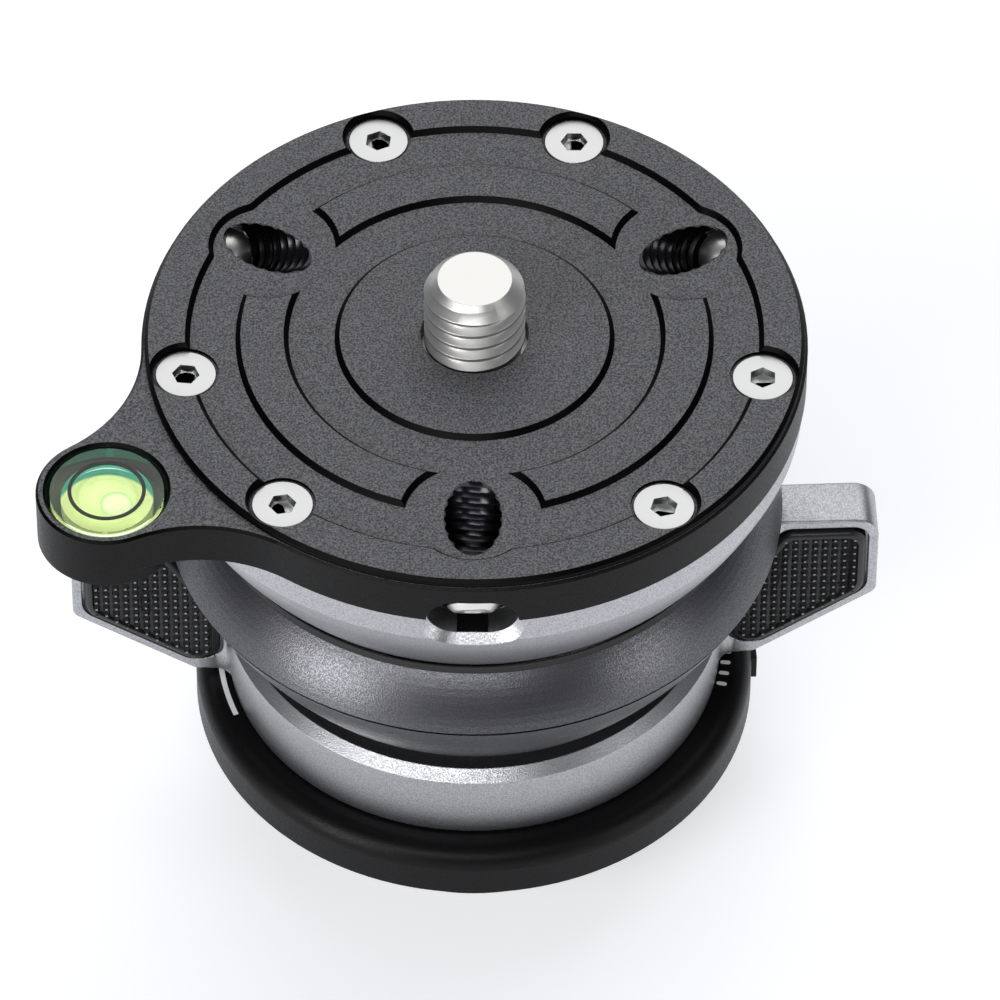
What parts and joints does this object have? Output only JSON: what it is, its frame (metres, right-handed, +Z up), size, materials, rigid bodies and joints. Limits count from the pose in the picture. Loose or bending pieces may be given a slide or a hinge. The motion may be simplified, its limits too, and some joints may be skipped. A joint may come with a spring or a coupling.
{
  "type": "leveling base",
  "caption": "Leveling base: a half ball under a round platform with a bubble vial and a threaded stud, locked in its cup by a winged lever ring on a flanged foot.",
  "frame": {"origin": "centre of the boss's bottom face, on the axis of the tapped foot hole", "axes": "+Z up along the stud, +X along the right wing's side, -Y towards the front grub screw, as pictured"},
  "size_m": [0.0794, 0.0626, 0.0675],
  "materials": {
    "black_anodised": "bead-blasted and black anodised",
    "silver_anodised": "bead-blasted and clear anodised",
    "platform_anodised": "bead-blasted and dark grey anodised",
    "stainless": "turned stainless steel",
    "zinc_steel": "zinc plated",
    "screw_steel": "nickel plated",
    "screw_black": "blackened steel",
    "grip_rubber": "knurled moulding",
    "wiper_rubber": "matte",
    "slide_plastic": "turned PTFE",
    "bronze": "rolled bronze",
    "brass": "turned brass",
    "vial_clear": "polished clear acrylic",
    "vial_fluid": "clear yellow-green liquid",
    "vial_air": "air bubble",
    "vial_backing": "matte",
    "ring_ink": "printed"
  },
  "bodies": {
    "base": {"base_body": "black_anodised", "thread_insert": "stainless", "stop_pin": "zinc_steel", "thrust_washer": "slide_plastic", "bearing_ring": "black_anodised", "cup": "silver_anodised", "cup_screws": "zinc_steel", "cup_collar": "silver_anodised", "wiper_ring": "wiper_rubber"},
    "lever": {"lever_ring": "silver_anodised", "pad_right_front": "grip_rubber", "pad_right_back": "grip_rubber", "pad_left_front": "grip_rubber", "pad_left_back": "grip_rubber"},
    "clamp": {"draw_collar": "brass", "cross_pin": "zinc_steel", "draw_bolt": "zinc_steel", "shoe": "silver_anodised", "disc_springs": "zinc_steel", "draw_washer": "zinc_steel", "draw_nut": "zinc_steel"},
    "seat": {"seat_ring": "slide_plastic"},
    "slip": {"slip_washer": "bronze"},
    "head": {"ball": "silver_anodised", "top_plate": "platform_anodised", "plate_screws": "screw_steel", "stud": "stainless", "stud_nut": "screw_black", "vial_base": "vial_backing", "vial_body": "vial_clear", "vial_liquid": "vial_fluid", "vial_bubble": "vial_air", "vial_mark": "ring_ink"},
    "front_grub": {"grub_front": "stainless"},
    "right_grub": {"grub_right": "stainless"},
    "left_grub": {"grub_left": "stainless"}
  },
  "joints": [
    {"name": "lever_turn", "type": "hinge", "parent": "base", "child": "lever", "pos_m": [0, 0, 0.02], "axis": [0, 0, 1], "range_deg": [0, 60]},
    {"name": "clamp_draw", "type": "slide", "parent": "base", "child": "clamp", "axis": [0, 0, 1], "range_m": [0, 0.0005]},
    {"name": "head_swing", "type": "hinge", "parent": "base", "child": "seat", "pos_m": [0, 0, 0.063], "axis": [0, 0, 1], "continuous": true},
    {"name": "head_tilt", "type": "hinge", "parent": "seat", "child": "slip", "pos_m": [0, 0, 0.063], "axis": [0, 1, 0], "range_deg": [-15, 15]},
    {"name": "head_turn", "type": "hinge", "parent": "slip", "child": "head", "pos_m": [0, 0, 0.063], "axis": [0, 0, 1], "continuous": true},
    {"name": "front_grub_drive", "type": "slide", "parent": "head", "child": "front_grub", "axis": [0, 0.809, 0.5878], "range_m": [0, 0.006]},
    {"name": "right_grub_drive", "type": "slide", "parent": "head", "child": "right_grub", "axis": [-0.7006, -0.4045, 0.5878], "range_m": [0, 0.006]},
    {"name": "left_grub_drive", "type": "slide", "parent": "head", "child": "left_grub", "axis": [0.7006, -0.4045, 0.5878], "range_m": [0, 0.006]}
  ],
  "couplings": [
    {"joint": "lever_turn", "follows": "clamp_draw", "rad_per_m": 2094.4}
  ]
}
